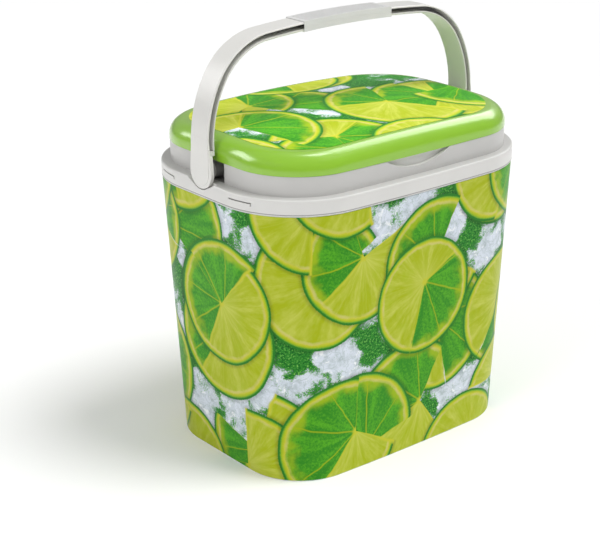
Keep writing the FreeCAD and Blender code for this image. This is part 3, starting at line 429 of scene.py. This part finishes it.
    # The rim throws a soft shade on what lies round it.
    near_rim = g.multiply(g.ramp(distance, *SHADE_STARTS), g.fall(distance, *SHADE_ENDS))
    shade = g.subtract(1.0, g.multiply(g.multiply(near_rim, keep), RIM_SHADE))
    under = g.vector("SCALE", given["Under"], scale=shade)
    tree.links.new(g.mix(g.multiply(inside, keep), under, colour), result["Colour"])
    return tree


ICE_BEND_MM = 34.0
SHARDS_PER_MM = 0.06
LEAF_PATCHES = (0.44, 0.51)


def make_ice_ground():
    """Crushed ice with specks and glints, and leafy green behind it."""
    tree, g, given, result = new_group("ice_ground", {"Position": "vector"}, {"Colour": "colour"})
    place = given["Position"]
    aside = g.vector("ADD", place, (37.0, 11.0, 0.0))
    push = g.join(g.noise(place, 0.04, 3.0), g.noise(aside, 0.04, 3.0))
    bent = g.vector("ADD", place, g.vector("SCALE", push, scale=ICE_BEND_MM))
    shards = tree.nodes.new("ShaderNodeTexVoronoi")
    shards.voronoi_dimensions = "2D"
    shards.feature = "DISTANCE_TO_EDGE"
    g.feed(shards.inputs["Vector"], bent)
    shards.inputs["Scale"].default_value = SHARDS_PER_MM
    veins = g.fall(shards.outputs["Distance"], 0.0, 0.06)
    ice = g.mix(g.ramp(g.noise(place, 0.07, 4.0, 0.65), 0.4, 0.8), ICE, ICE_SHADE)
    ice = g.mix(g.multiply(veins, 0.45), ice, ICE_SHADE)
    ice = g.mix(g.ramp(g.noise(bent, 0.11), 0.58, 0.7), ice, ICE_GLINT)
    speck = g.noise(place, 0.62)
    ice = g.mix(g.multiply(g.ramp(speck, 0.64, 0.7), 0.6), ice, LEAF)
    crumb = g.noise(place, 0.42, 3.0, 0.75)
    leaf = g.mix(g.ramp(crumb, 0.38, 0.54), LEAF_DARK, LEAF)
    leaf = g.mix(g.ramp(crumb, 0.54, 0.68), leaf, LEAF_LIGHT)
    clumps = g.noise(g.vector("ADD", bent, (0.0, 0.0, 91.0)), 0.02, 3.0)
    patches = g.ramp(g.add(clumps, g.sway(crumb, 0.26)), *LEAF_PATCHES)
    tree.links.new(g.mix(patches, ice, leaf), result["Colour"])
    return tree


# Scatters from the bottom up: cell and slice radius in mm, turn of the scatter, shift.
SCATTERS = (
    (206.0, 88.0, 0.35, (20.0, 64.0, 0.0)),
    (200.0, 84.0, 1.25, (95.0, 18.0, 0.0)),
    (204.0, 82.0, 2.10, (30.0, 120.0, 0.0)),
    (210.0, 80.0, 0.80, (140.0, 75.0, 0.0)),
)


def citrus_colour(g, place, layer, ground, nudge):
    """The whole print at one place of the film."""
    place = g.vector("ADD", place, nudge)
    colour = g.group(ground, Position=place)["Colour"]
    for cell, radius, turn, shift in SCATTERS:
        colour = g.group(layer, Position=place, Cell=cell, Radius=radius, Turn=turn,
                         Shift=shift, Under=colour)["Colour"]
    return colour


LEVEL_TOLERANCE = 0.002


def level_reach(node, level_share):
    """Half length and half width of a piece at a share of its height, and that level, in mm."""
    low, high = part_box(node)
    level = low[2] + (high[2] - low[2]) * level_share
    near = [v.co for v in NODES[node].data.vertices if abs(v.co.z - level) < LEVEL_TOLERANCE]
    reach = (max(c.x for c in near), max(c.y for c in near), level)
    return [value * MM_PER_METRE for value in reach]


# Corner radii of the wrap at its foot and at its top, in millimetres.
WRAP_CORNER_LOW = 72.0
WRAP_CORNER_HIGH = 98.0


def unrolled_place(g, place):
    """Distance along the wrap's girth from the middle of the front, and height, in millimetres."""
    x, y, z = g.split(place)
    low_x, low_y, low_z = level_reach("body_wrap", 0.0)
    high_x, high_y, high_z = level_reach("body_wrap", 1.0)
    half_x = g.blend(z, low_z, high_z, low_x, high_x)
    half_y = g.blend(z, low_z, high_z, low_y, high_y)
    corner = g.blend(z, low_z, high_z, WRAP_CORNER_LOW, WRAP_CORNER_HIGH)
    flat_x = g.subtract(half_x, corner)
    flat_y = g.subtract(half_y, corner)
    past_x = g.math("MAXIMUM", g.subtract(g.absolute(x), flat_x), 0.0)
    past_y = g.math("MAXIMUM", g.subtract(g.absolute(y), flat_y), 0.0)
    bend = g.multiply(g.math("ARCTAN2", past_x, past_y), corner)
    along = g.add(g.math("MINIMUM", g.absolute(x), flat_x), bend)
    along = g.add(along, g.subtract(flat_y, g.math("MINIMUM", g.absolute(y), flat_y)))
    quarter = g.add(g.add(flat_x, flat_y), g.multiply(corner, math.pi / 2))
    behind = g.math("GREATER_THAN", y, 0.0)
    girth = g.add(g.multiply(along, g.subtract(1.0, behind)),
                  g.multiply(g.subtract(g.multiply(quarter, 2.0), along), behind))
    return g.join(g.multiply(girth, g.math("SIGN", x)), z, 0.0)


def print_material(name, unrolled, nudge, brightness, gloss, layer, ground):
    """Satin film with the citrus print under it; gloss is the share of clear coat on it."""
    material, g, shader = new_material(name, Specular_IOR_Level=0.1, Coat_Weight=gloss,
                                       Coat_Roughness=0.12)
    place = g.object_millimetres()
    if unrolled:
        film = unrolled_place(g, place)
    else:
        x, y, _ = g.split(place)
        film = g.join(x, y)
    colour = g.vector("SCALE", citrus_colour(g, film, layer, ground, nudge), scale=brightness)
    g.feed(shader.inputs["Base Color"], colour)
    ripple = g.noise(place, 0.03, 1.0)
    g.feed(shader.inputs["Roughness"], g.blend(ripple, 0.3, 0.7, 0.32, 0.44))
    return material


# ------------------------------------------------------------------ moulded plastic


def make_moulded_grain():
    """The fine spark-eroded grain and faint handling marks of moulded plastic."""
    tree, g, given, result = new_group(
        "moulded_grain",
        {"Position": "vector", "Colour": "colour", "Shade": "value", "Gloss": "value"},
        {"Colour": "colour", "Roughness": "value", "Height": "value"})
    place = given["Position"]
    fine = g.noise(place, 2.4, 2.0, 0.6)
    broad = g.noise(place, 0.02, 3.0, 0.5)
    smudge = g.noise(place, 0.07, 3.0, 0.6)
    darker = g.vector("SCALE", given["Colour"], scale=given["Shade"])
    colour = g.mix(g.ramp(broad, 0.3, 0.75), given["Colour"], darker)
    tree.links.new(colour, result["Colour"])
    tree.links.new(g.add(given["Gloss"], g.sway(smudge, 0.12)), result["Roughness"])
    tree.links.new(fine, result["Height"])
    return tree


# Share of the colour taken away where the painted shade is full.
PAINTED_SHADE_AND_SEAM_DARKENING = 0.62
GRAIN_HEIGHT_M = 0.0004
BROAD_SHADE = 0.96


def plastic(name, colour, gloss, grain, grain_depth=0.02, painted_shade_and_seam=None, **values):
    """Moulded plastic; the optional shading function gives painted shade by how deep in a recess a
    place lies, 0 being in the open, and may add dark seam lines.
    """
    material, g, shader = new_material(name, **values)
    place = g.object_millimetres()
    made = g.group(grain, Position=place, Colour=colour, Shade=BROAD_SHADE, Gloss=gloss)
    if painted_shade_and_seam:
        # Painted shade: the base colour is darkened in recesses and under overhangs, and along
        # dark seam lines.
        shade_and_seam = painted_shade_and_seam(g, place)
        left_unshaded = g.subtract(1.0, g.multiply(shade_and_seam, PAINTED_SHADE_AND_SEAM_DARKENING))
        shaded_colour = g.vector("SCALE", made["Colour"], scale=left_unshaded)
        g.feed(shader.inputs["Base Color"], shaded_colour)
    else:
        g.feed(shader.inputs["Base Color"], made["Colour"])
    g.feed(shader.inputs["Roughness"], made["Roughness"])
    bump = g.tree.nodes.new("ShaderNodeBump")
    bump.inputs["Strength"].default_value = grain_depth
    bump.inputs["Distance"].default_value = GRAIN_HEIGHT_M
    g.feed(bump.inputs["Height"], made["Height"])
    g.feed(shader.inputs["Normal"], bump.outputs[0])
    return material


# Places on the collar, in millimetres.
SOCKET_START_X = 172.8
SOCKET_BACK_X = (183.2, 183.7)
SOCKET_HALF_WIDTH = 25.2
SOCKET_FLOOR_Z = 339.8
SCOOP_HALF_LENGTH = 47.0
SCOOP_FACE_Y = 133.0
WALL_FOOT_Z = (339.3, 339.9)
SEAM_Z, SEAM_HALF_HEIGHT = 323.4, 0.5
WALL_SHADE, SEAM_DEPTH = 0.3, 0.95


def painted_socket_shade_and_seam(g, place):
    """Painted shade: 1 inside the handle's sockets in the collar's ends, where little light gets
    in.

    The wall under the lid's edge gets a little painted shade too, except in the finger scoop, and
    a fine dark seam runs round the band's foot.
    """
    x, y, z = g.split(place)
    far_x, far_y = g.absolute(x), g.absolute(y)
    before_back = g.fall(far_x, *SOCKET_BACK_X)
    between = g.math("LESS_THAN", far_y, SOCKET_HALF_WIDTH)
    above = g.math("GREATER_THAN", z, SOCKET_FLOOR_Z)
    past_start = g.math("GREATER_THAN", far_x, SOCKET_START_X)
    # Painted shade inside the handle's sockets.
    socket = g.multiply(g.multiply(before_back, between), g.multiply(above, past_start))
    scoop = g.multiply(g.math("LESS_THAN", far_x, SCOOP_HALF_LENGTH),
                       g.math("LESS_THAN", far_y, SCOOP_FACE_Y))
    # Painted shade on the wall under the lid's overhang, left out in the finger scoop.
    wall_shade = g.multiply(g.multiply(g.ramp(z, *WALL_FOOT_Z), WALL_SHADE), g.subtract(1.0, scoop))
    seam = g.multiply(g.math("COMPARE", z, SEAM_Z, SEAM_HALF_HEIGHT), SEAM_DEPTH)
    return g.math("MAXIMUM", g.math("MAXIMUM", wall_shade, seam), socket)


# Painted shade deep in the bail's side grooves: where it lies and how strong it is.
GROOVE_HALF_WIDTH = 3.0
GROOVE_SHADE = 1.3
FACES_SIDEWAYS = 0.9


def painted_groove_shade(g, place):
    """Painted shade: above 0 on the web at the bottom of the bail's side grooves."""
    _, y, _ = g.split(place)
    coordinates = g.tree.nodes.new("ShaderNodeTexCoord")
    _, sideways, _ = g.split(coordinates.outputs["Normal"])
    near_middle = g.math("LESS_THAN", g.absolute(y), GROOVE_HALF_WIDTH)
    facing_out = g.math("GREATER_THAN", g.absolute(sideways), FACES_SIDEWAYS)
    return g.multiply(g.multiply(near_middle, facing_out), GROOVE_SHADE)


# ------------------------------------------------------------------ the scene


def finish_pieces():
    """Make the materials and give each piece its own."""
    layer = make_slice_layer()
    ground = make_ice_ground()
    grain = make_moulded_grain()
    body_print = print_material("body_print", unrolled=True, nudge=(0.0, 0.0, 0.0),
                                brightness=0.96, gloss=0.08, layer=layer, ground=ground)
    lid_print = print_material("lid_print", unrolled=False, nudge=(310.0, 45.0, 0.0),
                               brightness=1.34, gloss=0.0, layer=layer, ground=ground)
    # The collar and the bail get painted shade in their recesses; the collar also gets a dark seam
    # line.
    grey = plastic("collar_grey", srgb(214, 213, 210), 0.36, grain, 0.08, painted_shade_and_seam=painted_socket_shade_and_seam)
    bail = plastic("bail_grey", srgb(220, 219, 215), 0.34, grain, 0.08, painted_shade_and_seam=painted_groove_shade)
    grip = plastic("grip_grey", srgb(216, 216, 215), 0.4, grain, 0.12)
    white = plastic("liner_white", srgb(240, 241, 240), 0.25, grain)
    green = plastic("lid_green", srgb(138, 190, 34), 0.3, grain, 0.01, Coat_Weight=0.9,
                    Coat_Roughness=0.17)
    shell = plastic("shell_plastic", srgb(226, 230, 232), 0.4, grain)
    foam = plastic("foam", srgb(242, 242, 236), 0.85, grain, 0.3)
    for node, material in (("body_wrap", body_print), ("lid_print", lid_print),
                           ("outer_shell", shell), ("body_insulation", foam),
                           ("inner_liner", white), ("rim_collar", grey), ("handle_bail", bail),
                           ("grip_upper", grip), ("grip_lower", grip), ("lid_cover", green),
                           ("lid_insulation", foam), ("lid_inner_panel", white)):
        dress(node, material)


make_camera()
make_studio()
finish_pieces()
